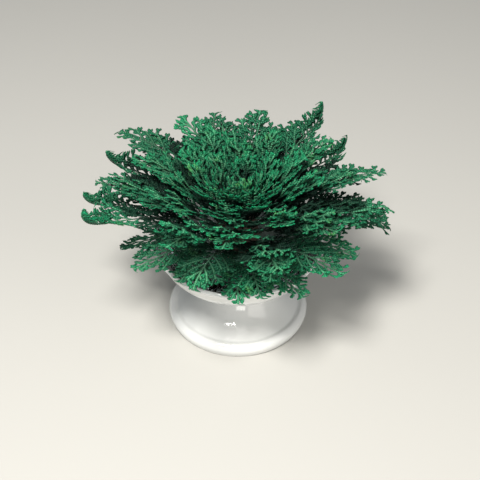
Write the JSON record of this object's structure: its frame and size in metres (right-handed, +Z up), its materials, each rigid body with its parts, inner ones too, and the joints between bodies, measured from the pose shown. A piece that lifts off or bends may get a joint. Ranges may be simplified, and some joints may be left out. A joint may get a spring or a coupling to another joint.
{
  "type": "rose of jericho in a footed bowl",
  "caption": "Rose of Jericho opened out green, its flat scaly fronds spread in a rosette over a white glazed footed bowl.",
  "frame": {"origin": "on the bowl's axis, on the surface that its foot ring stands on", "axes": "+Z up; the pictured front faces -Y; +X to the right as pictured, the rosette's widest way"},
  "size_m": [0.215, 0.174, 0.1383],
  "materials": {
    "glaze": "glossy",
    "water": "clear water",
    "bark": "matte fibrous",
    "green": "matte scaly leaf"
  },
  "bodies": {
    "root": {"footed_bowl": "glaze", "water": "water", "crown": "bark", "heart": "green", "frond_01": "green", "frond_02": "green", "frond_03": "green", "frond_04": "green", "frond_05": "green", "frond_06": "green", "frond_07": "green", "frond_08": "green", "frond_09": "green", "frond_10": "green", "frond_11": "green", "frond_12": "green", "frond_13": "green", "frond_14": "green", "frond_15": "green", "frond_16": "green", "frond_17": "green", "frond_18": "green", "frond_19": "green", "frond_20": "green", "frond_21": "green", "frond_22": "green", "frond_23": "green", "frond_24": "green", "frond_25": "green", "frond_26": "green", "frond_27": "green", "frond_28": "green", "frond_29": "green", "frond_30": "green", "frond_31": "green", "frond_32": "green", "frond_33": "green", "frond_34": "green", "frond_35": "green", "frond_36": "green", "frond_37": "green", "frond_38": "green", "frond_39": "green", "frond_40": "green", "frond_41": "green", "frond_42": "green", "frond_43": "green", "frond_44": "green", "frond_45": "green", "frond_46": "green", "frond_47": "green", "frond_48": "green", "frond_49": "green", "frond_50": "green", "frond_51": "green", "frond_52": "green", "frond_53": "green", "frond_54": "green", "frond_55": "green", "frond_56": "green"}
  },
  "joints": []
}
